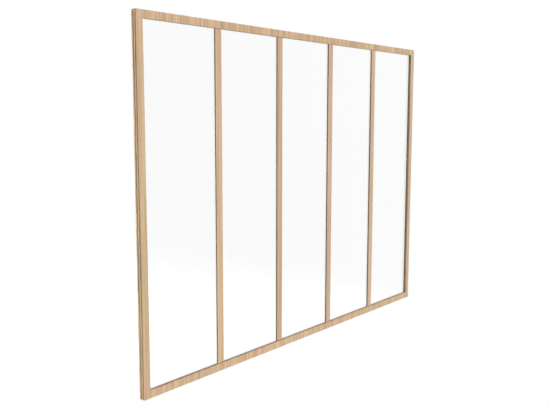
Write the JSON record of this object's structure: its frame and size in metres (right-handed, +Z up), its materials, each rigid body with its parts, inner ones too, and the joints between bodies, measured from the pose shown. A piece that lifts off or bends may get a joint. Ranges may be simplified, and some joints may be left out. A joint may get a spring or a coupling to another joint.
{
  "type": "glass partition wall",
  "caption": "Glass partition wall: full-height clear panes between slim set-back mullions in a light oak frame, with glazing beads at the rear and grooves round the outer edge.",
  "frame": {"origin": "middle of the underside of the wall, at half its depth: the point of mount floor_face", "axes": "+X along the wall to the right seen from the front, +Y from the front to the rear, +Z up"},
  "size_m": [3.4, 0.04, 2.4],
  "materials": {
    "oak": "matt oiled light oak with upright grain",
    "oak_bead": "matt oiled light oak",
    "laminated_glass": "clear laminated glass",
    "glazing_tape": "matt brown closed-cell foam",
    "block": "matt moulded",
    "beech": "plain fluted dowel",
    "zinc_steel": "bright zinc"
  },
  "bodies": {
    "root": {"left_stile": "oak", "right_stile": "oak", "top_rail": "oak", "bottom_rail": "oak", "mullion_1": "oak", "mullion_2": "oak", "mullion_3": "oak", "mullion_4": "oak", "glass_pane_1": "laminated_glass", "glass_pane_2": "laminated_glass", "glass_pane_3": "laminated_glass", "glass_pane_4": "laminated_glass", "glass_pane_5": "laminated_glass", "front_tape_1": "glazing_tape", "front_tape_2": "glazing_tape", "front_tape_3": "glazing_tape", "front_tape_4": "glazing_tape", "front_tape_5": "glazing_tape", "rear_tape_1": "glazing_tape", "rear_tape_2": "glazing_tape", "rear_tape_3": "glazing_tape", "rear_tape_4": "glazing_tape", "rear_tape_5": "glazing_tape", "bottom_bead_1": "oak_bead", "bottom_bead_2": "oak_bead", "bottom_bead_3": "oak_bead", "bottom_bead_4": "oak_bead", "bottom_bead_5": "oak_bead", "top_bead_1": "oak_bead", "top_bead_2": "oak_bead", "top_bead_3": "oak_bead", "top_bead_4": "oak_bead", "top_bead_5": "oak_bead", "left_bead_1": "oak_bead", "left_bead_2": "oak_bead", "left_bead_3": "oak_bead", "left_bead_4": "oak_bead", "left_bead_5": "oak_bead", "right_bead_1": "oak_bead", "right_bead_2": "oak_bead", "right_bead_3": "oak_bead", "right_bead_4": "oak_bead", "right_bead_5": "oak_bead", "setting_blocks": "block", "centring_blocks": "block", "corner_dowels": "beech", "corner_screws": "zinc_steel", "mullion_screws": "zinc_steel", "bead_pins": "zinc_steel"}
  },
  "joints": []
}
